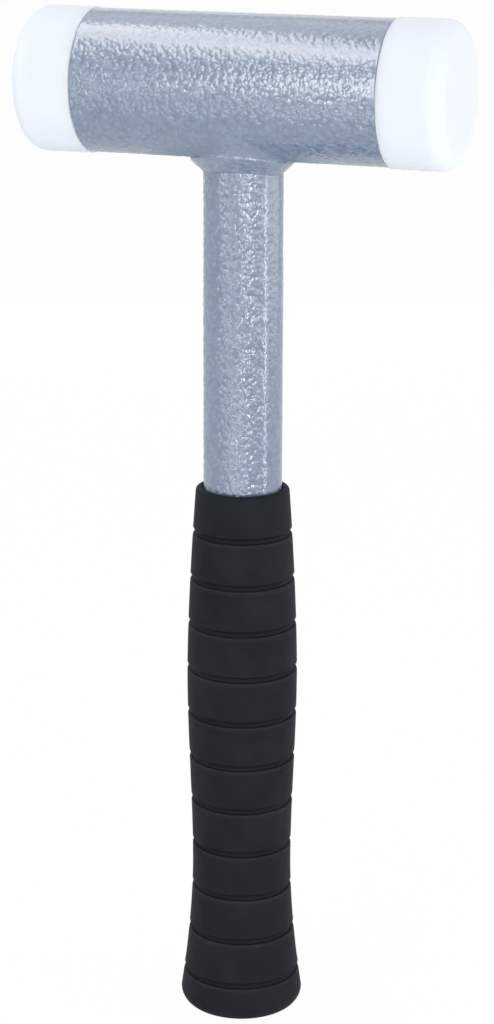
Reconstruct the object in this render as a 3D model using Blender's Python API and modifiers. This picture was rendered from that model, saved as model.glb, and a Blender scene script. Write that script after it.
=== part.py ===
"""Dead blow hammer.

A steel tube head holds loose steel shot between two pressed-in cups and carries a nylon face in each end.
A steel tube handle, coped to the round of the head, is welded on under a conical collar.
A ring-grooved rubber grip with a belly, a waist and a flared closed end is pushed over the handle.

Frame: metres, origin on the floor under the grip, +Z up the handle, +X along the head.
"""

import math

import bmesh
import bpy

# Fits
SEAT_GAP = 0.0003
SHARP_EDGE_ANGLE = math.radians(32)
TURN_MERGE_DISTANCE = 0.00001

# Head
HEAD_AXIS_HEIGHT = 0.2738
HEAD_TUBE_LENGTH = 0.0877
HEAD_TUBE_RADIUS = 0.0200
HEAD_TUBE_WALL = 0.0040
HEAD_EDGE_CHAMFER = 0.0005
COUNTERBORE_STEP = 0.0010
HEAD_SEGMENTS = 60

# Nylon faces
FACE_RADIUS = 0.0203
FACE_LENGTH = 0.01805
FACE_EDGE_ROUND = 0.0047
FACE_EDGE_ROUND_STEPS = 4
FACE_BACK_CHAMFER = 0.0004
SPIGOT_LENGTH = 0.0135
SPIGOT_NOSE_CHAMFER = 0.0010
BARB_COUNT = 2
BARB_HEIGHT = 0.0005
FACE_SEGMENTS = 48

# Cups that close the shot chamber
CUP_DEPTH = 0.0030
CUP_WEB = 0.0016
CUP_WALL = 0.0018
CUP_SEGMENTS = 40

# Shot
SHOT_RADIUS = 0.0040
SHOT_TRAVEL = 0.0060
SHOT_LEVEL_ABOVE_AXIS = 0.0080
SHOT_LOWEST_ROW_COUNT = 2
SHOT_SUBDIVISION_COUNT = 2

# Handle
HANDLE_RADIUS = 0.0113
HANDLE_WALL = 0.0020
HANDLE_SEGMENTS = 40
COPE_SEGMENTS = 60

# Weld collar
COLLAR_RIM_RADIUS = 0.0149
COLLAR_HEIGHT = 0.0036
COLLAR_FOOT_WALL = 0.0003
COLLAR_RIM_ROUND = 0.0004
COLLAR_SADDLE_RISE = 0.0024
COLLAR_CROWN = 0.0023

# Plug in the lower end of the handle
PLUG_FLANGE = 0.0020
PLUG_LENGTH = 0.0120
PLUG_NOSE_CHAMFER = 0.0010
PLUG_SEGMENTS = 30

# Grip
GRIP_LENGTH = 0.1600
GRIP_END_WALL = 0.0060
GRIP_TOP_RADIUS = 0.0134
GRIP_TOP_ROUND = 0.0010
GRIP_TOP_ROUND_STEPS = 3
GRIP_BELLY_RADIUS = 0.0160
GRIP_BELLY_HEIGHT = 0.1040
GRIP_BELLY_POWER = 1.6
GRIP_WAIST_RADIUS = 0.0145
GRIP_WAIST_HEIGHT = 0.0460
GRIP_FLARE_RADIUS = 0.0180
GRIP_FLARE_POWER = 1.8
GRIP_FOOT_ROUND = 0.0046
GRIP_FOOT_ROUND_STEPS = 5
GRIP_SEGMENTS = 36
GROOVE_COUNT = 11
GROOVE_TOP_HEIGHT = 0.1479
GROOVE_PITCH = 0.01358
GROOVE_WIDTH = 0.0016
GROOVE_DEPTH = 0.0008
GROOVE_EDGE_ROUND = 0.0003

# Sizes that follow from the driving dimensions
HEAD_BORE_RADIUS = HEAD_TUBE_RADIUS - HEAD_TUBE_WALL
COUNTERBORE_RADIUS = HEAD_BORE_RADIUS + COUNTERBORE_STEP
COUNTERBORE_DEPTH = SPIGOT_LENGTH + CUP_DEPTH + SEAT_GAP
CHAMBER_HALF_LENGTH = HEAD_TUBE_LENGTH / 2 - COUNTERBORE_DEPTH + SEAT_GAP
HANDLE_BORE_RADIUS = HANDLE_RADIUS - HANDLE_WALL
HANDLE_FOOT_HEIGHT = GRIP_END_WALL + PLUG_FLANGE + 2 * SEAT_GAP
GRIP_BORE_RADIUS = HANDLE_RADIUS + SEAT_GAP
SHOT_PITCH = 2 * SHOT_RADIUS + SEAT_GAP
COPE_LENGTH = 4 * COLLAR_RIM_RADIUS

# Directions of the head's two ends: the name, and the turn that lays a part's own +Z along that end
HEAD_ENDS = {"left": -math.pi / 2, "right": math.pi / 2}


def clear_scene():
    """Starts from an empty scene."""
    for old_object in list(bpy.data.objects):
        bpy.data.objects.remove(old_object)


def new_collection(name):
    """A collection linked to the scene."""
    collection = bpy.data.collections.new(name)
    bpy.context.scene.collection.children.link(collection)
    return collection


def new_material(name, colour, roughness, metallic):
    """A Principled material of one finish."""
    material = bpy.data.materials.new(name)
    material.use_nodes = True
    shader = material.node_tree.nodes["Principled BSDF"]
    shader.inputs["Base Color"].default_value = (*colour, 1.0)
    shader.inputs["Roughness"].default_value = roughness
    shader.inputs["Metallic"].default_value = metallic
    material.diffuse_color = (*colour, 1.0)
    return material


def shade(mesh):
    """Smooth shading with the real edges kept sharp."""
    mesh.shade_smooth()
    mesh.set_sharp_from_angle(angle=SHARP_EDGE_ANGLE)


def apply_modifiers(obj):
    """Makes what the modifiers show the object's own mesh."""
    bpy.context.view_layer.update()
    evaluated = obj.evaluated_get(bpy.context.evaluated_depsgraph_get())
    mesh = bpy.data.meshes.new_from_object(evaluated)
    obj.modifiers.clear()
    obj.data = mesh
    shade(mesh)


def turned(name, outline, segments, material, collection, closed=False):
    """A solid turned about its own Z from (radius, height) points that run down the outer side.

    A closed outline makes a ring or a tube. An open one starts and ends on the axis.
    """
    edges = [(i, i + 1) for i in range(len(outline) - 1)]
    if closed:
        edges.append((len(outline) - 1, 0))
    mesh = bpy.data.meshes.new(name)
    mesh.from_pydata([(radius, 0.0, height) for radius, height in outline], edges, [])
    mesh.materials.append(material)
    obj = bpy.data.objects.new(name, mesh)
    collection.objects.link(obj)
    screw = obj.modifiers.new("Turn", "SCREW")
    screw.axis = "Z"
    screw.steps = segments
    screw.render_steps = segments
    screw.use_merge_vertices = True
    screw.merge_threshold = TURN_MERGE_DISTANCE
    apply_modifiers(obj)
    return obj


def arc(centre_radius, centre_height, size, start, end, steps):
    """Points of a round edge in a turned outline, from one angle to another."""
    angles = [start + (end - start) * step / steps for step in range(steps + 1)]
    return [(centre_radius + size * math.cos(a), centre_height + size * math.sin(a)) for a in angles]


def lay_on_head(obj, end):
    """Turns a part's own +Z along one end of the head, with its origin at the head's centre."""
    obj.location = (0.0, 0.0, HEAD_AXIS_HEIGHT)
    obj.rotation_euler = (0.0, HEAD_ENDS[end], 0.0)


def cut(obj, cutter):
    """Takes the cutter's space out of the object."""
    boolean = obj.modifiers.new("Cope", "BOOLEAN")
    boolean.operation = "DIFFERENCE"
    boolean.solver = "EXACT"
    boolean.object = cutter
    apply_modifiers(obj)


def make_head_tube(material, collection):
    """The head: a tube with chamfered rims and a counterbore in each end."""
    half = HEAD_TUBE_LENGTH / 2
    shoulder = half - COUNTERBORE_DEPTH
    outline = [
        (HEAD_TUBE_RADIUS - HEAD_EDGE_CHAMFER, half),
        (HEAD_TUBE_RADIUS, half - HEAD_EDGE_CHAMFER),
        (HEAD_TUBE_RADIUS, HEAD_EDGE_CHAMFER - half),
        (HEAD_TUBE_RADIUS - HEAD_EDGE_CHAMFER, -half),
        (COUNTERBORE_RADIUS, -half),
        (COUNTERBORE_RADIUS, -shoulder),
        (HEAD_BORE_RADIUS, -shoulder),
        (HEAD_BORE_RADIUS, shoulder),
        (COUNTERBORE_RADIUS, shoulder),
        (COUNTERBORE_RADIUS, half),
    ]
    obj = turned("head_tube", outline, HEAD_SEGMENTS, material, collection, closed=True)
    lay_on_head(obj, "right")
    return obj


def make_strike_face(end, material, collection):
    """A nylon face: a flat with a round edge outside the tube, a barbed spigot inside it."""
    back = HEAD_TUBE_LENGTH / 2 + SEAT_GAP
    front = back + FACE_LENGTH
    nose = back - SPIGOT_LENGTH
    barb_radius = COUNTERBORE_RADIUS - SEAT_GAP
    root_radius = barb_radius - BARB_HEIGHT
    barb_length = (SPIGOT_LENGTH - SPIGOT_NOSE_CHAMFER) / (BARB_COUNT + 1)
    outline = [(0.0, front)]
    outline += arc(
        FACE_RADIUS - FACE_EDGE_ROUND,
        front - FACE_EDGE_ROUND,
        FACE_EDGE_ROUND,
        math.pi / 2,
        0.0,
        FACE_EDGE_ROUND_STEPS,
    )
    outline += [
        (FACE_RADIUS, back + FACE_BACK_CHAMFER),
        (FACE_RADIUS - FACE_BACK_CHAMFER, back),
        (root_radius, back),
    ]
    for barb in range(1, BARB_COUNT + 1):
        barb_top = back - barb * barb_length
        outline += [(root_radius, barb_top), (barb_radius, barb_top), (root_radius, barb_top - barb_length)]
    outline += [(root_radius - SPIGOT_NOSE_CHAMFER, nose), (0.0, nose)]
    obj = turned("strike_face_" + end, outline, FACE_SEGMENTS, material, collection)
    lay_on_head(obj, end)
    return obj


def make_chamber_cup(end, material, collection):
    """A pressed steel cup on the counterbore's shoulder, open towards the face."""
    web_back = CHAMBER_HALF_LENGTH
    web_front = web_back + CUP_WEB
    rim = web_back + CUP_DEPTH
    outer_radius = COUNTERBORE_RADIUS - SEAT_GAP
    outline = [
        (0.0, web_front),
        (outer_radius - CUP_WALL, web_front),
        (outer_radius - CUP_WALL, rim),
        (outer_radius, rim),
        (outer_radius, web_back),
        (0.0, web_back),
    ]
    obj = turned("chamber_plug_" + end, outline, CUP_SEGMENTS, material, collection)
    lay_on_head(obj, end)
    return obj


def shot_rows():
    """(side, height) of the balls in one slice of the shot, in nested rows from the bottom of the bore."""
    reach = HEAD_BORE_RADIUS - SHOT_RADIUS - SEAT_GAP
    row_step = SHOT_PITCH * math.sqrt(3) / 2
    count = SHOT_LOWEST_ROW_COUNT
    height = -math.sqrt(reach**2 - ((count - 1) * SHOT_PITCH / 2) ** 2)
    places = []
    while height + SHOT_RADIUS <= SHOT_LEVEL_ABOVE_AXIS:
        places += [((i - (count - 1) / 2) * SHOT_PITCH, height) for i in range(count)]
        height += row_step
        half_width = math.sqrt(max(reach**2 - height**2, 0.0))
        widest = int(2 * half_width / SHOT_PITCH) + 1
        count = widest if widest % 2 != count % 2 else widest - 1
    return places


def make_shot(material, collection):
    """The loose shot: slices of nested balls, on an empty on the slide axis at the head's centre."""
    charge = bpy.data.objects.new("shot_charge", None)
    charge.location = (0.0, 0.0, HEAD_AXIS_HEIGHT)
    collection.objects.link(charge)
    ball = bmesh.new()
    bmesh.ops.create_icosphere(ball, subdivisions=SHOT_SUBDIVISION_COUNT, radius=SHOT_RADIUS)
    mesh = bpy.data.meshes.new("shot_ball")
    ball.to_mesh(mesh)
    ball.free()
    mesh.materials.append(material)
    mesh.shade_smooth()
    room = 2 * (CHAMBER_HALF_LENGTH - SHOT_TRAVEL - SHOT_RADIUS - SEAT_GAP)
    slices = int(room / SHOT_PITCH) + 1
    places = [((s - (slices - 1) / 2) * SHOT_PITCH, *place) for s in range(slices) for place in shot_rows()]
    for number, place in enumerate(places, start=1):
        obj = bpy.data.objects.new(f"shot_ball_{number:02d}", mesh)
        obj.location = place
        obj.parent = charge
        collection.objects.link(obj)


def make_cope_cutter(collection):
    """The round of the head with its seat gap, which copes the handle and the collar."""
    tool = bmesh.new()
    radius = HEAD_TUBE_RADIUS + SEAT_GAP
    bmesh.ops.create_cone(
        tool,
        cap_ends=True,
        segments=COPE_SEGMENTS,
        radius1=radius,
        radius2=radius,
        depth=COPE_LENGTH,
    )
    mesh = bpy.data.meshes.new("cope_cutter")
    tool.to_mesh(mesh)
    tool.free()
    obj = bpy.data.objects.new("cope_cutter", mesh)
    obj.hide_render = True
    obj.display_type = "WIRE"
    lay_on_head(obj, "right")
    collection.objects.link(obj)
    return obj


def make_handle_tube(cutter, material, collection):
    """The handle: a tube from its plug in the grip up to the coped joint under the head."""
    outline = [
        (HANDLE_RADIUS, HEAD_AXIS_HEIGHT),
        (HANDLE_RADIUS, HANDLE_FOOT_HEIGHT),
        (HANDLE_BORE_RADIUS, HANDLE_FOOT_HEIGHT),
        (HANDLE_BORE_RADIUS, HEAD_AXIS_HEIGHT),
    ]
    obj = turned("handle_tube", outline, HANDLE_SEGMENTS, material, collection, closed=True)
    cut(obj, cutter)
    return obj


def make_weld_collar(cutter, material, collection):
    """The conical collar: it rises towards front and back, as the head's round does, and seats under it."""
    bore = HANDLE_RADIUS + SEAT_GAP
    top = HEAD_AXIS_HEIGHT - HEAD_TUBE_RADIUS
    foot = top - COLLAR_HEIGHT
    outline = [
        (COLLAR_RIM_RADIUS - COLLAR_RIM_ROUND, top),
        (COLLAR_RIM_RADIUS, top - COLLAR_RIM_ROUND),
        (bore + COLLAR_FOOT_WALL, foot),
        (bore, foot),
        (bore, top + COLLAR_CROWN),
    ]
    obj = turned("weld_collar", outline, HANDLE_SEGMENTS, material, collection, closed=True)
    for vertex in obj.data.vertices:
        vertex.co.z += COLLAR_SADDLE_RISE * (vertex.co.y / COLLAR_RIM_RADIUS) ** 2
    cut(obj, cutter)
    return obj


def make_handle_end_plug(material, collection):
    """The plug in the lower end of the handle tube, with a flange over the tube's edge."""
    flange_foot = GRIP_END_WALL + SEAT_GAP
    flange_top = flange_foot + PLUG_FLANGE
    nose = flange_top + PLUG_LENGTH
    spigot_radius = HANDLE_BORE_RADIUS - SEAT_GAP
    outline = [
        (0.0, nose),
        (spigot_radius - PLUG_NOSE_CHAMFER, nose),
        (spigot_radius, nose - PLUG_NOSE_CHAMFER),
        (spigot_radius, flange_top),
        (HANDLE_RADIUS, flange_top),
        (HANDLE_RADIUS, flange_foot),
        (0.0, flange_foot),
    ]
    return turned("handle_end_plug", outline, PLUG_SEGMENTS, material, collection)


def grip_radius(height):
    """Outer radius of the grip between its grooves: top, belly, waist and flare in one smooth run."""
    if height >= GRIP_BELLY_HEIGHT:
        share = (height - GRIP_BELLY_HEIGHT) / (GRIP_LENGTH - GRIP_BELLY_HEIGHT)
        return GRIP_BELLY_RADIUS - (GRIP_BELLY_RADIUS - GRIP_TOP_RADIUS) * share**GRIP_BELLY_POWER
    if height >= GRIP_WAIST_HEIGHT:
        share = (GRIP_BELLY_HEIGHT - height) / (GRIP_BELLY_HEIGHT - GRIP_WAIST_HEIGHT)
        ease = share * share * (3 - 2 * share)
        return GRIP_BELLY_RADIUS - (GRIP_BELLY_RADIUS - GRIP_WAIST_RADIUS) * ease
    share = (GRIP_WAIST_HEIGHT - height) / (GRIP_WAIST_HEIGHT - GRIP_FOOT_ROUND)
    return GRIP_WAIST_RADIUS + (GRIP_FLARE_RADIUS - GRIP_WAIST_RADIUS) * min(share, 1.0) ** GRIP_FLARE_POWER


def groove_outline(top):
    """One ring groove that follows the grip's radius, with broken edges."""
    foot = top - GROOVE_WIDTH
    return [
        (grip_radius(top + GROOVE_EDGE_ROUND), top + GROOVE_EDGE_ROUND),
        (grip_radius(top) - GROOVE_EDGE_ROUND, top),
        (grip_radius(top) - GROOVE_DEPTH, top),
        (grip_radius(foot) - GROOVE_DEPTH, foot),
        (grip_radius(foot) - GROOVE_EDGE_ROUND, foot),
        (grip_radius(foot - GROOVE_EDGE_ROUND), foot - GROOVE_EDGE_ROUND),
    ]


def make_grip_sleeve(material, collection):
    """The rubber grip: a blind bore for the handle, ring grooves outside, a flared foot."""
    groove_tops = [GROOVE_TOP_HEIGHT - i * GROOVE_PITCH for i in range(GROOVE_COUNT)]
    rim = GRIP_LENGTH - GRIP_TOP_ROUND
    outline = [(0.0, GRIP_END_WALL), (GRIP_BORE_RADIUS, GRIP_END_WALL), (GRIP_BORE_RADIUS, GRIP_LENGTH)]
    outline += arc(
        grip_radius(rim) - GRIP_TOP_ROUND,
        rim,
        GRIP_TOP_ROUND,
        math.pi / 2,
        0.0,
        GRIP_TOP_ROUND_STEPS,
    )
    for top in groove_tops:
        middle = top + (GROOVE_PITCH - GROOVE_WIDTH) / 2
        if middle < rim:
            outline.append((grip_radius(middle), middle))
        outline += groove_outline(top)
    outline += arc(
        GRIP_FLARE_RADIUS - GRIP_FOOT_ROUND,
        GRIP_FOOT_ROUND,
        GRIP_FOOT_ROUND,
        0.0,
        -math.pi / 2,
        GRIP_FOOT_ROUND_STEPS,
    )
    outline.append((0.0, 0.0))
    return turned("grip_sleeve", outline, GRIP_SEGMENTS, material, collection)


def main():
    clear_scene()
    pieces = new_collection("dead_blow_hammer")
    cutters = new_collection("cutters")
    paint = new_material("hammertone_paint", (0.30, 0.36, 0.45), 0.38, 0.35)
    nylon = new_material("white_nylon", (0.83, 0.86, 0.90), 0.40, 0.0)
    rubber = new_material("black_rubber", (0.020, 0.021, 0.025), 0.60, 0.0)
    cup_steel = new_material("pressed_steel", (0.45, 0.46, 0.48), 0.35, 1.0)
    shot_steel = new_material("shot_steel", (0.36, 0.37, 0.39), 0.30, 1.0)
    plug_plastic = new_material("plug_plastic", (0.05, 0.05, 0.055), 0.50, 0.0)
    cope_cutter = make_cope_cutter(cutters)
    make_head_tube(paint, pieces)
    for end in HEAD_ENDS:
        make_strike_face(end, nylon, pieces)
        make_chamber_cup(end, cup_steel, pieces)
    make_shot(shot_steel, pieces)
    make_handle_tube(cope_cutter, paint, pieces)
    make_weld_collar(cope_cutter, paint, pieces)
    make_handle_end_plug(plug_plastic, pieces)
    make_grip_sleeve(rubber, pieces)


main()
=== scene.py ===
"""Looks of the dead blow hammer: hammertone paint, white nylon, grooved rubber, in a plain white studio.

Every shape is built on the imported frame: the pieces that show replace their solids with finer meshes of
the same size, and the pieces sealed inside keep their solids.
"""

import math

import bpy
from mathutils import Matrix, Vector, noise


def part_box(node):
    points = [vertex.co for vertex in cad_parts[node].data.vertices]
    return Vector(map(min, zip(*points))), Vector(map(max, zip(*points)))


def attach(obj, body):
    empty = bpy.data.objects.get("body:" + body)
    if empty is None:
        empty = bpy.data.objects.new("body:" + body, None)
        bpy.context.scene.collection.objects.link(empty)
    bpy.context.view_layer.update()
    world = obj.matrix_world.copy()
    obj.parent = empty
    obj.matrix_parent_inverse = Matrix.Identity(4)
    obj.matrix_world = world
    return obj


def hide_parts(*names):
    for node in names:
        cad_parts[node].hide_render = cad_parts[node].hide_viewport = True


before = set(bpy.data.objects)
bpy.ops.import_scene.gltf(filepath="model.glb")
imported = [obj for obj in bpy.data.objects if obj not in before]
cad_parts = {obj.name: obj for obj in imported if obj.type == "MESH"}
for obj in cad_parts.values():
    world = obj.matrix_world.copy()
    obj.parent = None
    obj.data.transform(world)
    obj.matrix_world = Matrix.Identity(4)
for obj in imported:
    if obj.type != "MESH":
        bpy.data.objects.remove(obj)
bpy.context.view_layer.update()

MM = 0.001
BODY = "hammer"

# Sizes read from the frame
head_low, head_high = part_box("head_tube")
HEAD_AXIS = (head_low.z + head_high.z) / 2
HEAD_RADIUS = (head_high.y - head_low.y) / 2
HEAD_HALF = (head_high.x - head_low.x) / 2
face_low, face_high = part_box("strike_face_right")
FACE_RADIUS = (face_high.y - face_low.y) / 2
FACE_REACH = face_high.x
SPIGOT_NOSE = face_low.x
handle_low, handle_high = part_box("handle_tube")
HANDLE_RADIUS = (handle_high.y - handle_low.y) / 2
HANDLE_FOOT = handle_low.z
collar_low, collar_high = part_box("weld_collar")
COLLAR_RIM = (collar_high.x - collar_low.x) / 2
COLLAR_FOOT = collar_low.z
grip_low, grip_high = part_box("grip_sleeve")
GRIP_LENGTH = grip_high.z
GRIP_FLARE_RADIUS = (grip_high.x - grip_low.x) / 2

# Head and faces
HEAD_WALL = 4.0 * MM
HEAD_EDGE_ROUND = 0.22 * MM
HEAD_EDGE_STEPS = 4
HEAD_COUNTERBORE = 16.8 * MM
HEAD_COUNTERBORE_STEP = 1.0 * MM
HEAD_SEGMENTS = 330
FACE_GAP = 0.05 * MM
FACE_EDGE_ROUND = 4.7 * MM
FACE_EDGE_STEPS = 16
FACE_BACK_ROUND = 0.4 * MM
FACE_BACK_STEPS = 4
FACE_FIRST_RING = 0.08
FACE_STEP = 1.5 * MM
FACE_SEGMENTS = 128
SPIGOT_RADIUS = 16.5 * MM

# Handle tube
HANDLE_WALL = 2.0 * MM
HANDLE_COPE_FADE = 6.0 * MM
HANDLE_SEGMENTS = 210

# Weld collar, and the cove by which it runs out on the head
COLLAR_SADDLE_RISE = 2.4 * MM
COLLAR_RIM_ROUND = 0.5 * MM
COLLAR_RIM_STEPS = 6
COLLAR_RIM_LIFT = 0.4 * MM
COLLAR_RIM_TURN = math.radians(25)
COLLAR_BITE = 0.4 * MM
COLLAR_FOOT_BITE = 0.02 * MM
COVE_REACH = 3.0 * MM
COVE_HOLLOW = 0.2 * MM
COVE_RINGS = 10
# Height of the cove's wall at which its painted shade is fullest
COVE_PAINTED_SHADE_WALL = 2.0 * MM

# Grip
GRIP_BORE_GAP = 0.3 * MM
GRIP_BORE_RADIUS = HANDLE_RADIUS + GRIP_BORE_GAP
GRIP_END_WALL = 6.0 * MM
GRIP_TOP_RADIUS = 13.4 * MM
GRIP_TOP_ROUND = 1.0 * MM
GRIP_TOP_STEPS = 8
GRIP_BELLY_RADIUS = 16.0 * MM
GRIP_BELLY_HEIGHT = 104.0 * MM
GRIP_BELLY_POWER = 1.6
GRIP_WAIST_RADIUS = 14.5 * MM
GRIP_WAIST_HEIGHT = 46.0 * MM
GRIP_FLARE_POWER = 1.8
GRIP_FOOT_ROUND = 4.6 * MM
GRIP_FOOT_STEPS = 14
GRIP_SIDE_STEPS = 12
GRIP_SEGMENTS = 144
GROOVE_COUNT = 11
GROOVE_TOP = 147.9 * MM
GROOVE_PITCH = 13.58 * MM
GROOVE_WIDTH = 1.5 * MM
GROOVE_DEPTH = 0.9 * MM
GROOVE_EDGE_ROUND = 0.6 * MM
GROOVE_CORNER = 0.35 * MM
LIP_STEPS = 4

# Painted light on the rubber down each outline: 0 is painted shade in a groove's corners, 1 a painted
# highlight on a ring's upper edge
PLAIN_PAINTED_LIGHT = 0.5
# The ring's upper edge below a groove: a painted highlight
UPPER_LIP_PAINTED_HIGHLIGHT = (0.35, 0.75, 1.0, 1.0, 0.75)
# The ring's lower edge down into a groove: painted shade
LOWER_LIP_PAINTED_SHADE = (0.5, 0.35, 0.15, 0.05, 0.0)
# The groove's bottom: painted shade in its corners, and its floor painted paler against the shade there
GROOVE_BOTTOM_PAINTED_LIGHT = (0.0, 0.35, 0.65, 0.15)

# Hammertone relief: pebbles, and the share of it on each part
RELIEF_SEED = 7
RELIEF_STEP = 0.34 * MM
CELL_SIZE = 1.7 * MM
CELL_DEPTH = 0.15 * MM
CELL_WARP = 0.35 * MM
CELL_WARP_SCALE = 0.7
DOME_REACH = 0.65
DOME_SHARE = 0.7
LUMP_SCALE = 0.55
LUMP_SHARE = 0.3
PLAIN_HEIGHT = 0.5
HEAD_SMOOTH_RIM = 1.2 * MM
HEAD_EDGE_LEFT_OUT = 0.6
TOP_LEVEL_FROM = math.radians(27)
TOP_LEVEL_SKEW = math.radians(4)
TOP_LEVEL_OVER = math.radians(10)
TOP_LEVELLING = 0.68
HANDLE_ROUGH_MIDDLE = math.radians(-40)
HANDLE_ROUGH_HALF = math.radians(82)
HANDLE_ROUGH_FADE = math.radians(11)
HANDLE_ROUGH_SHARE = 1.1
HANDLE_SMOOTH_SHARE = 0.35
HANDLE_UNDER_GRIP = 6.0 * MM
HANDLE_SKIN = 0.5 * MM
COLLAR_SMOOTH_FOOT = 0.3 * MM
COLLAR_LEAN = 12.0 * MM
COVE_SINK = 2 * CELL_DEPTH

# Thick matt paint around the weld
DULL_REACH = 14.0 * MM
DULL_RISE = 12.0 * MM
DULL_STRENGTH = 1.6
DULL_ROUGHNESS = 0.6

# Hammertone paint
# Colours over the relief height: painted shade in the hollows, painted light on the ridges
PAINT_HOLLOWS_PAINTED_SHADE = [(0.0, (0.086, 0.128, 0.199)), (0.15, (0.102, 0.151, 0.233))]
PAINT_RIDGES_PAINTED_LIGHT = [(0.5, (0.123, 0.180, 0.273)), (0.9, (0.143, 0.204, 0.303))]
PAINT_CLOUD_SIZE = 9 * MM
PAINT_CLOUD_TINTS = ((0.93, 0.96, 1.0), (1.0, 1.0, 0.99))
PAINT_PEBBLE_SIZE = 1.15 * MM
# Painted shade in the creases between the shader's pebbles
PAINT_PEBBLE_PAINTED_SHADES = [(0.05, (1.0, 1.0, 1.0)), (0.35, (0.83, 0.85, 0.88))]
PAINT_PEBBLE_DEPTH = 0.16 * MM
PAINT_IOR = 1.9
PAINT_SPECULAR = 0.75
PAINT_ROUGH_SIZE = 1.5 * MM
PAINT_ROUGHNESS = (0.155, 0.215)
PAINT_FLAKE_SIZE = 0.6 * MM
PAINT_FLAKE_DEPTH = 0.02 * MM
PAINT_FLAKE_STRENGTH = 0.3

# White nylon
NYLON_CLOUD_SIZE = 14 * MM
NYLON_COLOURS = ((0.632, 0.682, 0.750), (0.652, 0.696, 0.762))
NYLON_ROUGH_SIZE = 3 * MM
NYLON_ROUGHNESS = (0.50, 0.58)
NYLON_SPECULAR = 0.06
NYLON_SCATTER = 0.8
NYLON_SCATTER_DEPTH = 6.0 * MM
NYLON_GRAIN_SIZE = 0.5 * MM

# Black rubber
RUBBER_CLOUD_SIZE = 11 * MM
RUBBER_COLOURS = ((0.0160, 0.0180, 0.0232), (0.0220, 0.0242, 0.0308))
# How far the painted light darkens the rubber or leaves it pale, by its value
RUBBER_PAINTED_LIGHT_TONES = ((0.0, 0.15), (0.5, 0.6), (1.0, 1.0))
RUBBER_ROUGH_SIZE = 2.5 * MM
RUBBER_ROUGHNESS = (0.60, 0.70)
RUBBER_SPECULAR = 0.07
RUBBER_GRAIN_SIZE = 0.35 * MM

# Moulded grain of nylon and rubber
GRAIN_DEPTH = 0.01 * MM
GRAIN_STRENGTH = 0.5

# Steel and plastic of the pieces inside
STAIN_SIZE = 3 * MM
STEEL_ROUGHNESS = (0.28, 0.42)
CUP_COLOURS = ((0.38, 0.38, 0.39), (0.50, 0.50, 0.52))
SHOT_COLOURS = ((0.30, 0.30, 0.31), (0.42, 0.42, 0.43))
PLASTIC_CLOUD_SIZE = 4 * MM
PLASTIC_GREYS = (0.035, 0.05)
PLASTIC_ROUGHNESS = (0.45, 0.55)
INNER_ROUGH_SIZE = 1 * MM

# Noise of the materials, and where its low and high tones are reached
NOISE_DETAIL = 2.0
NOISE_ROUGHNESS = 0.55
MOTTLE_LOW = 0.3
MOTTLE_HIGH = 0.7
WOBBLE_SCALE = 0.8
WOBBLE_SHARE = 0.45
PEBBLE_SMOOTHNESS = 0.3

# Camera fitted to the outline of head, handle and grip
CAMERA_PLACE = Vector((0.2537, -0.6901, 0.3575))
CAMERA_FORWARD = Vector((-0.3308, 0.9046, -0.2687))
CAMERA_RIGHT = Vector((0.9389, 0.3442, 0.0031))
CAMERA_SENSOR = 36.0
CAMERA_LENS = 93.48

# Studio
LAMP_COLOUR = (1.0, 0.97, 0.94)
PANEL_DISTANCE = 1.2
STRIP_DISTANCE = 1.25
STRIP_FOOT = 0.02
SPARKLE_PLACE = (0.0315, -0.0198, 0.2763)
FLOOR_HALF = 4.0
FLOOR_COLOUR = (0.95, 0.95, 0.95)
FLOOR_WHITE_SHARE = 0.97
WORLD_FILL_COLOUR = (0.95, 0.97, 1.0)
WORLD_FILL_STRENGTH = 0.60
WHITE = (1.0, 1.0, 1.0, 1.0)


def arc(centre_radius, centre_height, size, start, end, steps):
    """Points of a round edge in a turned outline."""
    angles = [start + (end - start) * i / steps for i in range(steps + 1)]
    return [(centre_radius + size * math.cos(a), centre_height + size * math.sin(a)) for a in angles]


def run(start, end, step):
    """Points from start to end of an outline, about a step apart, without the end."""
    count = max(1, round(math.dist(start, end) / step))
    return [tuple(a + (b - a) * i / count for a, b in zip(start, end)) for i in range(count)]


def turned(name, outline, segments, closed=False):
    """A mesh turned about its own Z from (radius, height) points that run down the outer side."""
    points, rings, faces = [], [], []
    turns = [2 * math.pi * i / segments for i in range(segments)]
    for radius, height in outline:
        first = len(points)
        if radius == 0.0:
            points.append((0.0, 0.0, height))
            rings.append([first] * segments)
        else:
            points += [(radius * math.cos(t), radius * math.sin(t), height) for t in turns]
            rings.append(list(range(first, first + segments)))
    pairs = list(zip(rings, rings[1:]))
    if closed:
        pairs.append((rings[-1], rings[0]))
    for upper, lower in pairs:
        for i in range(segments):
            j = (i + 1) % segments
            corners = dict.fromkeys((upper[i], lower[i], lower[j], upper[j]))
            faces.append(tuple(corners))
    mesh = bpy.data.meshes.new(name)
    mesh.from_pydata(points, [], faces)
    mesh.shade_smooth()
    return mesh


def add_values(mesh, name, values):
    """A value for every point of a mesh, which its material reads by name."""
    mesh.attributes.new(name, "FLOAT", "POINT").data.foreach_set("value", values)


def add_piece(name, mesh, material, slot, *nodes):
    """A piece on the hammer's body in place of CAD nodes."""
    mesh.materials.append(material)
    obj = bpy.data.objects.new(name, mesh)
    bpy.context.scene.collection.objects.link(obj)
    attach(obj, BODY)
    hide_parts(*nodes)


def pebbles(place):
    """Height from 0 to 1 of the hammertone paint at a place: round pebbles between narrow creases."""
    at = place / CELL_SIZE
    warp = noise.noise_vector(at * CELL_WARP_SCALE) * (CELL_WARP / CELL_SIZE)
    near = noise.voronoi(at + warp)[0]
    dome = 1.0 - min(1.0, near[0] / DOME_REACH) ** 2
    lumps = 0.5 + 0.5 * noise.noise(at * LUMP_SCALE)
    return DOME_SHARE * dome + LUMP_SHARE * lumps


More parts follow.
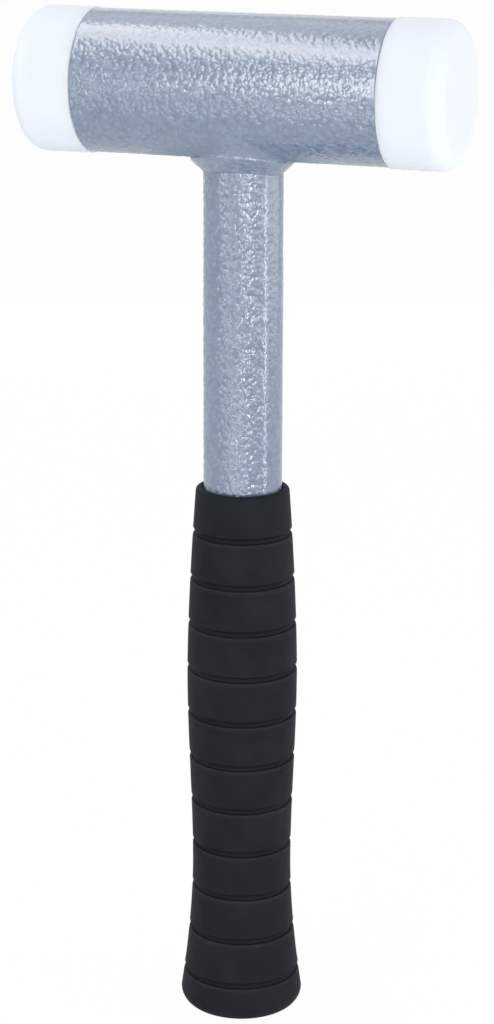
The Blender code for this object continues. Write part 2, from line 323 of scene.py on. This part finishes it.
def emboss(mesh, direction, chosen):
    """Presses the relief into the chosen points, and keeps its height and share for the paint's shading."""
    heights, shares = [], []
    for vertex in mesh.vertices:
        share = chosen(vertex.co)
        height = pebbles(vertex.co) if share > 0.0 else PLAIN_HEIGHT
        heights.append(height)
        shares.append(min(1.0, share))
        if share > 0.0:
            vertex.co -= direction(vertex.co) * (1.0 - height) * CELL_DEPTH * share
    add_values(mesh, "relief", heights)
    add_values(mesh, "relief_share", shares)


def dull_near_weld(mesh, chosen):
    """Marks where the paint lies thick and matt around the weld."""
    shares = []
    for vertex in mesh.vertices:
        beside = max(0.0, 1.0 - (vertex.co.xy.length - COLLAR_RIM) / DULL_REACH)
        below = max(0.0, 1.0 - (vertex.co.z - HEAD_AXIS + HEAD_RADIUS) / DULL_RISE)
        shares.append(min(1.0, DULL_STRENGTH * beside * below) if chosen(vertex) else 0.0)
    add_values(mesh, "dull", shares)


def lay_on_head(mesh, sign):
    """Turns a mesh's own +Z along one end of the head."""
    mesh.transform(Matrix.Translation((0.0, 0.0, HEAD_AXIS)) @ Matrix.Rotation(sign * math.pi / 2, 4, "Y"))


def new_material(name):
    """An empty node material and its shader."""
    material = bpy.data.materials.new(name)
    material.use_nodes = True
    return material, material.node_tree, material.node_tree.nodes["Principled BSDF"]


def node(tree, kind, inputs=None, **settings):
    """A shader node with its settings and constant inputs."""
    made = tree.nodes.new(kind)
    for key, value in settings.items():
        setattr(made, key, value)
    for key, value in (inputs or {}).items():
        made.inputs[key].default_value = value
    return made


def ramp(tree, source, stops):
    """A colour ramp over a value."""
    made = tree.nodes.new("ShaderNodeValToRGB")
    elements = made.color_ramp.elements
    while len(elements) < len(stops):
        elements.new(0.5)
    for element, (place, colour) in zip(elements, stops):
        element.position = place
        element.color = (*colour, 1.0)
    tree.links.new(source, made.inputs["Fac"])
    return made.outputs["Color"]


def grey(value):
    """A grey colour."""
    return (value, value, value)


def object_place(tree):
    """The surface point in the object's own metres."""
    return tree.nodes.new("ShaderNodeTexCoord").outputs["Object"]


def point_value(tree, name):
    """The value that a mesh keeps at its points under a name."""
    return node(tree, "ShaderNodeAttribute", attribute_name=name).outputs["Fac"]


def noise_value(tree, place, size, detail=NOISE_DETAIL):
    """Noise with lumps of a real size."""
    settings = {"Scale": 1.0 / size, "Detail": detail, "Roughness": NOISE_ROUGHNESS}
    made = node(tree, "ShaderNodeTexNoise", settings)
    tree.links.new(place, made.inputs["Vector"])
    return made.outputs["Fac"]


def mottled(tree, place, size, low, high):
    """A colour that drifts between two tones in lumps of a real size."""
    return ramp(tree, noise_value(tree, place, size), [(MOTTLE_LOW, low), (MOTTLE_HIGH, high)])


def pebble_value(tree, place, size):
    """Squared distance from the middle of irregular pebbles of a real size, 0 in the middle."""
    wobble = node(tree, "ShaderNodeTexNoise", {"Scale": WOBBLE_SCALE / size, "Detail": 1.0})
    shift = node(tree, "ShaderNodeVectorMath", {1: grey(WOBBLE_SHARE * size)}, operation="MULTIPLY_ADD")
    settings = {"Scale": 1.0 / size, "Smoothness": PEBBLE_SMOOTHNESS}
    cells = node(tree, "ShaderNodeTexVoronoi", settings, feature="SMOOTH_F1")
    square = node(tree, "ShaderNodeMath", {1: 2.0}, operation="POWER")
    tree.links.new(place, wobble.inputs["Vector"])
    tree.links.new(wobble.outputs["Color"], shift.inputs[0])
    tree.links.new(place, shift.inputs[2])
    tree.links.new(shift.outputs["Vector"], cells.inputs["Vector"])
    tree.links.new(cells.outputs["Distance"], square.inputs[0])
    return square.outputs["Value"]


def bump(tree, height, distance, strength, below=None, invert=False):
    """A bump of a real height, with a strength that is a number or a socket."""
    made = node(tree, "ShaderNodeBump", {"Distance": distance}, invert=invert)
    if isinstance(strength, bpy.types.NodeSocket):
        tree.links.new(strength, made.inputs["Strength"])
    else:
        made.inputs["Strength"].default_value = strength
    tree.links.new(height, made.inputs["Height"])
    if below is not None:
        tree.links.new(below, made.inputs["Normal"])
    return made.outputs["Normal"]


def mix_colour(tree, share, first, second, blend="MIX"):
    """A mix of two colours, each a socket or a constant."""
    made = node(tree, "ShaderNodeMix", data_type="RGBA", blend_type=blend)
    for index, value in ((0, share), (6, first), (7, second)):
        if isinstance(value, bpy.types.NodeSocket):
            tree.links.new(value, made.inputs[index])
        elif isinstance(value, tuple):
            made.inputs[index].default_value = (*value, 1.0)
        else:
            made.inputs[index].default_value = value
    return made.outputs[2]


def hammertone_paint():
    """Grey-blue hammertone: darker hollows and paler ridges as painted shade and light of its relief, fine
    flake and a wet gloss, matt at the weld.
    """
    material, tree, shader = new_material("hammertone_paint")
    place = object_place(tree)
    # Painted shade in the relief's hollows and the cove, painted light on its ridges
    cells = ramp(tree, point_value(tree, "relief"), PAINT_HOLLOWS_PAINTED_SHADE + PAINT_RIDGES_PAINTED_LIGHT)
    tint = mottled(tree, place, PAINT_CLOUD_SIZE, *PAINT_CLOUD_TINTS)
    crease = pebble_value(tree, place, PAINT_PEBBLE_SIZE)
    # Painted shade in the creases between the pebbles
    painted_shade = ramp(tree, crease, PAINT_PEBBLE_PAINTED_SHADES)
    colour = mix_colour(tree, 1.0, mix_colour(tree, 1.0, cells, tint, "MULTIPLY"), painted_shade, "MULTIPLY")
    tree.links.new(colour, shader.inputs["Base Color"])
    shader.inputs["IOR"].default_value = PAINT_IOR
    shader.inputs["Specular IOR Level"].default_value = PAINT_SPECULAR
    gloss = mottled(tree, place, PAINT_ROUGH_SIZE, *map(grey, PAINT_ROUGHNESS))
    rough = mix_colour(tree, point_value(tree, "dull"), gloss, grey(DULL_ROUGHNESS))
    tree.links.new(rough, shader.inputs["Roughness"])
    share = point_value(tree, "relief_share")
    pebble = bump(tree, crease, PAINT_PEBBLE_DEPTH, share, invert=True)
    flake = noise_value(tree, place, PAINT_FLAKE_SIZE, 1.0)
    fine = bump(tree, flake, PAINT_FLAKE_DEPTH, PAINT_FLAKE_STRENGTH, pebble)
    tree.links.new(fine, shader.inputs["Normal"])
    return material


def white_nylon():
    """Natural nylon: milky, faintly blue in its depth, satin with a fine moulded grain."""
    material, tree, shader = new_material("white_nylon")
    place = object_place(tree)
    colour = mottled(tree, place, NYLON_CLOUD_SIZE, *NYLON_COLOURS)
    tree.links.new(colour, shader.inputs["Base Color"])
    rough = mottled(tree, place, NYLON_ROUGH_SIZE, *map(grey, NYLON_ROUGHNESS))
    tree.links.new(rough, shader.inputs["Roughness"])
    shader.inputs["Specular IOR Level"].default_value = NYLON_SPECULAR
    shader.inputs["Subsurface Weight"].default_value = NYLON_SCATTER
    shader.inputs["Subsurface Radius"].default_value = grey(1.0)
    shader.inputs["Subsurface Scale"].default_value = NYLON_SCATTER_DEPTH
    grain = bump(tree, noise_value(tree, place, NYLON_GRAIN_SIZE), GRAIN_DEPTH, GRAIN_STRENGTH)
    tree.links.new(grain, shader.inputs["Normal"])
    return material


def black_rubber():
    """Moulded black rubber: satin, with a faint bloom, a fine grain, and painted shade and highlights at
    its grooves.
    """
    material, tree, shader = new_material("black_rubber")
    place = object_place(tree)
    bloom = mottled(tree, place, RUBBER_CLOUD_SIZE, *RUBBER_COLOURS)
    stops = [(painted_light, grey(tone)) for painted_light, tone in RUBBER_PAINTED_LIGHT_TONES]
    # The rubber is darker or paler by its painted shade and highlights at the grooves
    painted_tone = ramp(tree, point_value(tree, "painted_light"), stops)
    colour = mix_colour(tree, 1.0, bloom, painted_tone, "MULTIPLY")
    tree.links.new(colour, shader.inputs["Base Color"])
    rough = mottled(tree, place, RUBBER_ROUGH_SIZE, *map(grey, RUBBER_ROUGHNESS))
    tree.links.new(rough, shader.inputs["Roughness"])
    shader.inputs["Specular IOR Level"].default_value = RUBBER_SPECULAR
    grain = bump(tree, noise_value(tree, place, RUBBER_GRAIN_SIZE), GRAIN_DEPTH, GRAIN_STRENGTH)
    tree.links.new(grain, shader.inputs["Normal"])
    return material


def bare_steel(name, dark, light):
    """Bare steel with faint stains."""
    material, tree, shader = new_material(name)
    place = object_place(tree)
    colour = mottled(tree, place, STAIN_SIZE, dark, light)
    tree.links.new(colour, shader.inputs["Base Color"])
    rough = mottled(tree, place, INNER_ROUGH_SIZE, *map(grey, STEEL_ROUGHNESS))
    tree.links.new(rough, shader.inputs["Roughness"])
    shader.inputs["Metallic"].default_value = 1.0
    return material


def plug_plastic():
    """Black moulded plastic of the plug in the handle."""
    material, tree, shader = new_material("plug_plastic")
    place = object_place(tree)
    colour = mottled(tree, place, PLASTIC_CLOUD_SIZE, *map(grey, PLASTIC_GREYS))
    tree.links.new(colour, shader.inputs["Base Color"])
    rough = mottled(tree, place, INNER_ROUGH_SIZE, *map(grey, PLASTIC_ROUGHNESS))
    tree.links.new(rough, shader.inputs["Roughness"])
    return material


def make_head(material):
    """The painted tube of the head, with its relief, round rims and counterbores."""
    bore = HEAD_RADIUS - HEAD_WALL
    counterbore = bore + HEAD_COUNTERBORE_STEP
    shoulder = HEAD_HALF - HEAD_COUNTERBORE
    edge = HEAD_EDGE_ROUND
    ring = HEAD_RADIUS - edge
    end = HEAD_HALF - edge
    outline = arc(ring, end, edge, math.pi / 2, 0.0, HEAD_EDGE_STEPS)
    outline += run((HEAD_RADIUS, end), (HEAD_RADIUS, -end), RELIEF_STEP)[1:]
    outline += arc(ring, -end, edge, 0.0, -math.pi / 2, HEAD_EDGE_STEPS)
    outline += [(counterbore, -HEAD_HALF), (counterbore, -shoulder), (bore, -shoulder)]
    outline += [(bore, shoulder), (counterbore, shoulder), (counterbore, HEAD_HALF)]
    mesh = turned("head_shell", outline, HEAD_SEGMENTS, closed=True)
    lay_on_head(mesh, 1)

    def outward(place):
        return Vector((0.0, place.y, place.z - HEAD_AXIS)).normalized()

    def on_outside(place):
        if math.hypot(place.y, place.z - HEAD_AXIS) < HEAD_RADIUS - HEAD_EDGE_LEFT_OUT * edge:
            return 0.0
        tilt = math.atan2(place.z - HEAD_AXIS, abs(place.y))
        start = TOP_LEVEL_FROM - TOP_LEVEL_SKEW * place.x / HEAD_HALF
        levelled = min(1.0, max(0.0, (tilt - start) / TOP_LEVEL_OVER))
        share = 1.0 - TOP_LEVELLING * levelled
        return share * min(1.0, max(0.0, (end - abs(place.x)) / HEAD_SMOOTH_RIM))

    emboss(mesh, outward, on_outside)
    dull_near_weld(mesh, lambda vertex: True)
    add_piece("head_shell", mesh, material, "hammertone_paint", "head_tube")


def make_face(end, sign, material):
    """A nylon face with a full round edge, and its spigot inside the tube."""
    back = HEAD_HALF + FACE_GAP
    edge = FACE_EDGE_ROUND
    heel = FACE_BACK_ROUND
    ring = FACE_RADIUS - edge
    outline = [(0.0, FACE_REACH)]
    outline += run((FACE_RADIUS * FACE_FIRST_RING, FACE_REACH), (ring, FACE_REACH), FACE_STEP)
    outline += arc(ring, FACE_REACH - edge, edge, math.pi / 2, 0.0, FACE_EDGE_STEPS)
    outline += run((FACE_RADIUS, FACE_REACH - edge), (FACE_RADIUS, back + heel), FACE_STEP)[1:]
    outline += arc(FACE_RADIUS - heel, back + heel, heel, 0.0, -math.pi / 2, FACE_BACK_STEPS)
    outline += [(SPIGOT_RADIUS, back), (SPIGOT_RADIUS, SPIGOT_NOSE), (0.0, SPIGOT_NOSE)]
    mesh = turned("nylon_face_" + end, outline, FACE_SEGMENTS)
    lay_on_head(mesh, sign)
    add_piece("nylon_face_" + end, mesh, material, "white_nylon", "strike_face_" + end)


def head_underside(place, clear=0.0):
    """Height of the head's round over a point under it."""
    reach = HEAD_RADIUS + clear
    return HEAD_AXIS - math.sqrt(max(reach**2 - place.y**2, 0.0))


def make_handle(material):
    """The painted handle tube, coped to the head, with relief where it shows."""
    top = HEAD_AXIS - HEAD_RADIUS
    bore = HANDLE_RADIUS - HANDLE_WALL
    hidden = GRIP_LENGTH - HANDLE_UNDER_GRIP
    outline = run((HANDLE_RADIUS, top), (HANDLE_RADIUS, hidden), RELIEF_STEP)
    outline += [(HANDLE_RADIUS, hidden), (HANDLE_RADIUS, HANDLE_FOOT), (bore, HANDLE_FOOT), (bore, top)]
    mesh = turned("handle_shaft", outline, HANDLE_SEGMENTS, closed=True)
    for vertex in mesh.vertices:
        rise = head_underside(vertex.co) - top
        vertex.co.z += rise * max(0.0, 1.0 - (top - vertex.co.z) / HANDLE_COPE_FADE)

    def outward(place):
        return Vector((place.x, place.y, 0.0)).normalized()

    def on_outside(place):
        if place.z <= hidden or math.hypot(place.x, place.y) < HANDLE_RADIUS - HANDLE_SKIN:
            return 0.0
        turn = math.atan2(place.x, -place.y)
        off = abs(math.remainder(turn - HANDLE_ROUGH_MIDDLE, 2 * math.pi))
        smooth = min(1.0, max(0.0, (off - HANDLE_ROUGH_HALF) / HANDLE_ROUGH_FADE))
        return HANDLE_ROUGH_SHARE + (HANDLE_SMOOTH_SHARE - HANDLE_ROUGH_SHARE) * smooth

    emboss(mesh, outward, on_outside)
    add_piece("handle_shaft", mesh, material, "hammertone_paint", "handle_tube")


def make_weld(material):
    """The weld collar: a cone from the handle out to a soft rim, then a cove that runs out on the head."""
    top = HEAD_AXIS - HEAD_RADIUS + COLLAR_RIM_LIFT
    inner = HANDLE_RADIUS - COLLAR_BITE
    foot = (HANDLE_RADIUS - COLLAR_FOOT_BITE, COLLAR_FOOT)
    edge = COLLAR_RIM_ROUND
    rim = arc(COLLAR_RIM - edge, top - edge, edge, COLLAR_RIM_TURN, -math.pi / 4, COLLAR_RIM_STEPS)
    outline = [rim[0]] * COVE_RINGS + rim
    outline += run(rim[-1], foot, RELIEF_STEP)[1:]
    outline += [foot, (inner, COLLAR_FOOT), (inner, top)]
    mesh = turned("weld_bead", outline, HANDLE_SEGMENTS, closed=True)
    for vertex in mesh.vertices:
        vertex.co.z += COLLAR_SADDLE_RISE * (vertex.co.y / COLLAR_RIM) ** 2
    cove = mesh.vertices[: COVE_RINGS * HANDLE_SEGMENTS]
    reach = COLLAR_RIM + COVE_REACH
    # Painted shade: the cove's paint darkens towards the rim, where its wall stands tall in the recess
    # under the head
    cove_painted_shades = []
    for vertex in cove:
        along = (vertex.index // HANDLE_SEGMENTS) / COVE_RINGS
        side = Vector((vertex.co.x, vertex.co.y, 0.0)).normalized()
        low = vertex.co.copy()
        high = side * reach
        high.z = head_underside(high, -COVE_SINK)
        slope = side.y * high.y / (HEAD_AXIS - high.z)
        corner = side * (low.xy.length - COVE_HOLLOW)
        corner.z = max(low.z, high.z - slope * (reach - corner.xy.length))
        cove_painted_shades.append(1.0 - along * min(1.0, max(0.0, corner.z - low.z) / COVE_PAINTED_SHADE_WALL))
        vertex.co = high * (1 - along) ** 2 + corner * (2 * along * (1 - along)) + low * along**2

    def outward(place):
        return Vector((place.x, place.y, -COLLAR_LEAN)).normalized()

    def on_outside(place):
        return 1.0 if math.hypot(place.x, place.y) > HANDLE_RADIUS + COLLAR_SMOOTH_FOOT else 0.0

    emboss(mesh, outward, on_outside)
    # The painted shade darkens the cove's paint through its relief value
    heights = mesh.attributes["relief"].data
    for vertex, painted_shade in zip(cove, cove_painted_shades):
        heights[vertex.index].value *= painted_shade
    for vertex in mesh.vertices:
        vertex.co.z = min(vertex.co.z, head_underside(vertex.co, -COVE_SINK))
    dull_near_weld(mesh, lambda vertex: vertex.index < len(cove))
    add_piece("weld_bead", mesh, material, "hammertone_paint", "weld_collar")


def grip_radius(height):
    """Outer radius of the grip between its grooves."""
    if height >= GRIP_BELLY_HEIGHT:
        share = (height - GRIP_BELLY_HEIGHT) / (GRIP_LENGTH - GRIP_BELLY_HEIGHT)
        return GRIP_BELLY_RADIUS - (GRIP_BELLY_RADIUS - GRIP_TOP_RADIUS) * share**GRIP_BELLY_POWER
    if height >= GRIP_WAIST_HEIGHT:
        share = (GRIP_BELLY_HEIGHT - height) / (GRIP_BELLY_HEIGHT - GRIP_WAIST_HEIGHT)
        ease = share * share * (3 - 2 * share)
        return GRIP_BELLY_RADIUS - (GRIP_BELLY_RADIUS - GRIP_WAIST_RADIUS) * ease
    share = (GRIP_WAIST_HEIGHT - height) / (GRIP_WAIST_HEIGHT - GRIP_FOOT_ROUND)
    return GRIP_WAIST_RADIUS + (GRIP_FLARE_RADIUS - GRIP_WAIST_RADIUS) * min(share, 1.0) ** GRIP_FLARE_POWER


def grip_stretch(top, foot):
    """Outline of the rubber between two grooves, with round edges: its upper edge, side and lower edge."""
    edge = GROOVE_EDGE_ROUND
    upper = arc(grip_radius(top) - edge, top - edge, edge, math.pi / 2, 0.0, LIP_STEPS)
    steps = GRIP_SIDE_STEPS
    heights = [top - edge + (foot + edge - top + edge) * i / steps for i in range(1, steps)]
    side = [(grip_radius(height), height) for height in heights]
    lower = arc(grip_radius(foot) - edge, foot + edge, edge, 0.0, -math.pi / 2, LIP_STEPS)
    return upper, side, lower


def make_grip(material):
    """The rubber grip: twelve rings between eleven grooves, a round top rim and a flared foot.

    Each point of the outline has its painted light, which the material turns into a darker or paler tone:
    painted shade in a groove's corners, a painted highlight on a ring's upper edge.
    """
    tops = [GROOVE_TOP - i * GROOVE_PITCH for i in range(GROOVE_COUNT)]
    rim = GRIP_LENGTH - GRIP_TOP_ROUND
    shoulder = grip_radius(rim) - GRIP_TOP_ROUND
    outline = [(0.0, GRIP_END_WALL), (GRIP_BORE_RADIUS, GRIP_END_WALL), (GRIP_BORE_RADIUS, GRIP_LENGTH)]
    outline += arc(shoulder, rim, GRIP_TOP_ROUND, math.pi / 2, 0.0, GRIP_TOP_STEPS)
    painted_light = [PLAIN_PAINTED_LIGHT] * len(outline)

    def add(points, values):
        outline.extend(points)
        painted_light.extend(values)

    for i in range(GROOVE_COUNT + 1):
        top = rim if i == 0 else tops[i - 1] - GROOVE_WIDTH
        foot = tops[i] if i < GROOVE_COUNT else GRIP_FOOT_ROUND
        upper, side, lower = grip_stretch(top, foot)
        # A painted highlight on the ring's upper edge; painted shade on its lower edge and in the groove
        if i > 0:
            add(upper, UPPER_LIP_PAINTED_HIGHLIGHT)
        add(side, [PLAIN_PAINTED_LIGHT] * len(side))
        if i < GROOVE_COUNT:
            bottom = grip_radius(foot - GROOVE_WIDTH / 2) - GROOVE_DEPTH
            drops = (0.0, GROOVE_CORNER, GROOVE_WIDTH - GROOVE_CORNER, GROOVE_WIDTH)
            add(lower, LOWER_LIP_PAINTED_SHADE)
            add([(bottom, foot - drop) for drop in drops], GROOVE_BOTTOM_PAINTED_LIGHT)
    flare = GRIP_FLARE_RADIUS - GRIP_FOOT_ROUND
    base = arc(flare, GRIP_FOOT_ROUND, GRIP_FOOT_ROUND, 0.0, -math.pi / 2, GRIP_FOOT_STEPS)
    base.append((0.0, 0.0))
    add(base, [PLAIN_PAINTED_LIGHT] * len(base))
    mesh = turned("grip_rubber", outline, GRIP_SEGMENTS)
    values = []
    for (radius, height), value in zip(outline, painted_light):
        values += [value] * (GRIP_SEGMENTS if radius > 0.0 else 1)
    # Keeps the painted shade and highlights for the rubber's material
    add_values(mesh, "painted_light", values)
    add_piece("grip_rubber", mesh, material, "black_rubber", "grip_sleeve")


def paint_inner_nodes():
    """Materials of the pieces sealed inside, which keep their solids."""
    cup = bare_steel("pressed_steel", *CUP_COLOURS)
    shot = bare_steel("shot_steel", *SHOT_COLOURS)
    plastic = plug_plastic()
    for name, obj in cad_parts.items():
        if name.startswith("shot_ball"):
            choice = shot
        elif name.startswith("chamber_plug"):
            choice = cup
        elif name == "handle_end_plug":
            choice = plastic
        else:
            continue
        obj.data.materials.clear()
        obj.data.materials.append(choice)


def add_camera():
    """The photograph's view, from the fitted place and axes."""
    forward = CAMERA_FORWARD.normalized()
    right = (CAMERA_RIGHT - forward * CAMERA_RIGHT.dot(forward)).normalized()
    above = right.cross(forward)
    data = bpy.data.cameras.new("camera")
    data.sensor_fit = "VERTICAL"
    data.sensor_height = CAMERA_SENSOR
    data.lens = CAMERA_LENS
    camera = bpy.data.objects.new("camera", data)
    turn = Matrix((right, above, -forward)).transposed()
    camera.matrix_world = Matrix.Translation(CAMERA_PLACE) @ turn.to_4x4()
    bpy.context.scene.collection.objects.link(camera)
    bpy.context.scene.camera = camera


def add_light(name, place, target, along, size, radiance):
    """A rectangular softbox of even radiance, with its first side along a direction."""
    data = bpy.data.lights.new(name, "AREA")
    data.shape = "RECTANGLE"
    data.size, data.size_y = size
    data.energy = radiance * math.pi * size[0] * size[1]
    data.color = LAMP_COLOUR
    lamp = bpy.data.objects.new(name, data)
    back = (Vector(place) - Vector(target)).normalized()
    side = Vector(along)
    side = (side - back * side.dot(back)).normalized()
    turn = Matrix((side, back.cross(side), back)).transposed()
    lamp.matrix_world = Matrix.Translation(place) @ turn.to_4x4()
    lamp.visible_camera = False
    bpy.context.scene.collection.objects.link(lamp)


def around(target, azimuth, elevation, distance):
    """A place seen from a target: azimuth 0 is in front, positive to the right."""
    turn, rise = math.radians(azimuth), math.radians(elevation)
    level = math.cos(rise)
    direction = Vector((math.sin(turn) * level, -math.cos(turn) * level, math.sin(rise)))
    return Vector(target) + distance * direction


def add_panel(name, azimuth, elevation, along, size, radiance):
    """A softbox that looks down on the head from a direction."""
    head = (0.0, 0.0, HEAD_AXIS)
    place = around(head, azimuth, elevation, PANEL_DISTANCE)
    add_light(name, place, head, along, size, radiance)


def add_strip(name, azimuth, height, width, radiance, distance=STRIP_DISTANCE, foot=STRIP_FOOT):
    """An upright softbox that stands around the hammer, from a foot height up."""
    middle = Vector((0.0, 0.0, foot + height / 2))
    turn = math.radians(azimuth)
    across = (math.cos(turn), math.sin(turn), 0.0)
    add_light(name, around(middle, azimuth, 0.0, distance), middle, across, (width, height), radiance)


def add_lights():
    """Soft studio light, placed by the reflections in the photograph.

    The overhead lamps make the band along the head. The front strips and the near lamp make the sparkle
    on head and handle, and the right strip makes the line down the handle. The other lamps fill.
    """
    head = (0.0, 0.0, HEAD_AXIS)
    add_light("overhead_left", place=(-0.48, 0.03, 1.17), target=head,
              along=(0.45, -0.89, 0.0), size=(0.46, 0.35), radiance=2.65)
    add_light("overhead_right", place=(-0.255, -0.45, 1.17), target=head,
              along=(0.34, -0.94, 0.0), size=(0.60, 0.27), radiance=3.1)
    add_panel("high_front_panel", azimuth=-28.0, elevation=46.0,
              along=(0.88, -0.47, 0.0), size=(0.55, 0.30), radiance=1.05)
    add_panel("left_panel", azimuth=-92.0, elevation=42.0,
              along=(0.0, 1.0, 0.0), size=(0.5, 0.5), radiance=2.3)
    add_panel("back_panel", azimuth=-135.0, elevation=57.0,
              along=(0.71, -0.71, 0.0), size=(0.75, 0.8), radiance=0.62)
    add_panel("back_low_panel", azimuth=-157.0, elevation=20.0,
              along=(0.92, -0.39, 0.0), size=(0.6, 0.32), radiance=0.45)
    add_strip("back_fill", azimuth=200.0, height=0.30, width=0.7, radiance=1.1, distance=1.1)
    add_strip("front_far_left", azimuth=-38.0, height=0.60, width=0.11, radiance=4.8)
    add_strip("front_left", azimuth=-14.0, height=1.10, width=0.19, radiance=1.02)
    add_strip("low_left", azimuth=-16.0, height=0.24, width=0.12, radiance=0.7, distance=0.70, foot=0.01)
    add_strip("front_middle", azimuth=17.0, height=0.90, width=0.11, radiance=7.4)
    add_strip("front_right", azimuth=40.0, height=0.60, width=0.18, radiance=7.3)
    add_strip("right_fill", azimuth=66.0, height=0.60, width=0.34, radiance=1.8)
    add_light("right_strip", place=(0.5, -0.04, 0.24), target=(0.0, 0.0, 0.2),
              along=(0.0, 1.0, 0.0), size=(0.018, 0.44), radiance=13.5)
    add_light("right_panel", place=(0.88, 0.40, 0.45), target=(0.0, 0.0, 0.25),
              along=(-0.41, 0.91, 0.0), size=(0.95, 0.90), radiance=1.02)
    add_light("floor_strip", place=(0.0, -0.42, 0.012), target=head,
              along=(1.0, 0.0, 0.0), size=(0.34, 0.06), radiance=3.2)
    add_light("near_lamp", place=(-0.014, -0.187, 0.322), target=SPARKLE_PLACE,
              along=(1.0, 0.0, 0.0), size=(0.05, 0.11), radiance=3.3)


def seen_or_mirrored(tree, path):
    """1 for what the camera sees, directly or in a reflection."""
    made = node(tree, "ShaderNodeMath", operation="MAXIMUM")
    tree.links.new(path.outputs["Is Camera Ray"], made.inputs[0])
    tree.links.new(path.outputs["Is Glossy Ray"], made.inputs[1])
    return made.outputs[0]


def mix_shaders(tree, share, first, second, output_kind):
    """A mix of two shaders as the surface of a material or world."""
    mixed = tree.nodes.new("ShaderNodeMixShader")
    out = tree.nodes.new(output_kind)
    tree.links.new(share, mixed.inputs[0])
    tree.links.new(first.outputs[0], mixed.inputs[1])
    tree.links.new(second.outputs[0], mixed.inputs[2])
    tree.links.new(mixed.outputs[0], out.inputs["Surface"])


def add_floor():
    """A plain white floor that shows as white to the camera and keeps the shadow."""
    half = FLOOR_HALF
    corners = [(-half, -half, 0), (half, -half, 0), (half, half, 0), (-half, half, 0)]
    mesh = bpy.data.meshes.new("floor")
    mesh.from_pydata(corners, [], [(0, 1, 2, 3)])
    material = bpy.data.materials.new("floor_white")
    material.use_nodes = True
    tree = material.node_tree
    tree.nodes.clear()
    matt = node(tree, "ShaderNodeBsdfDiffuse", {"Color": (*FLOOR_COLOUR, 1.0)})
    glow = node(tree, "ShaderNodeEmission", {"Color": WHITE, "Strength": 1.0})
    path = tree.nodes.new("ShaderNodeLightPath")
    share = node(tree, "ShaderNodeMath", {1: FLOOR_WHITE_SHARE}, operation="MULTIPLY")
    tree.links.new(seen_or_mirrored(tree, path), share.inputs[0])
    mix_shaders(tree, share.outputs[0], matt, glow, "ShaderNodeOutputMaterial")
    mesh.materials.append(material)
    floor = bpy.data.objects.new("floor", mesh)
    bpy.context.scene.collection.objects.link(floor)


def add_world():
    """White to the camera and in reflections, a softer grey as light."""
    world = bpy.data.worlds.new("studio")
    bpy.context.scene.world = world
    world.use_nodes = True
    tree = world.node_tree
    tree.nodes.clear()
    path = tree.nodes.new("ShaderNodeLightPath")
    through = node(tree, "ShaderNodeMath", operation="MAXIMUM")
    fill_inputs = {"Color": (*WORLD_FILL_COLOUR, 1.0), "Strength": WORLD_FILL_STRENGTH}
    fill = node(tree, "ShaderNodeBackground", fill_inputs)
    white = node(tree, "ShaderNodeBackground", {"Color": WHITE, "Strength": 1.0})
    tree.links.new(seen_or_mirrored(tree, path), through.inputs[0])
    tree.links.new(path.outputs["Is Transmission Ray"], through.inputs[1])
    mix_shaders(tree, through.outputs[0], fill, white, "ShaderNodeOutputWorld")


def main():
    """Builds the pieces, then the camera and the studio."""
    noise.seed_set(RELIEF_SEED)
    paint = hammertone_paint()
    nylon = white_nylon()
    make_head(paint)
    make_face("left", -1, nylon)
    make_face("right", 1, nylon)
    make_handle(paint)
    make_weld(paint)
    make_grip(black_rubber())
    paint_inner_nodes()
    add_camera()
    add_lights()
    add_floor()
    add_world()
    bpy.context.scene.view_settings.view_transform = "Standard"


main()
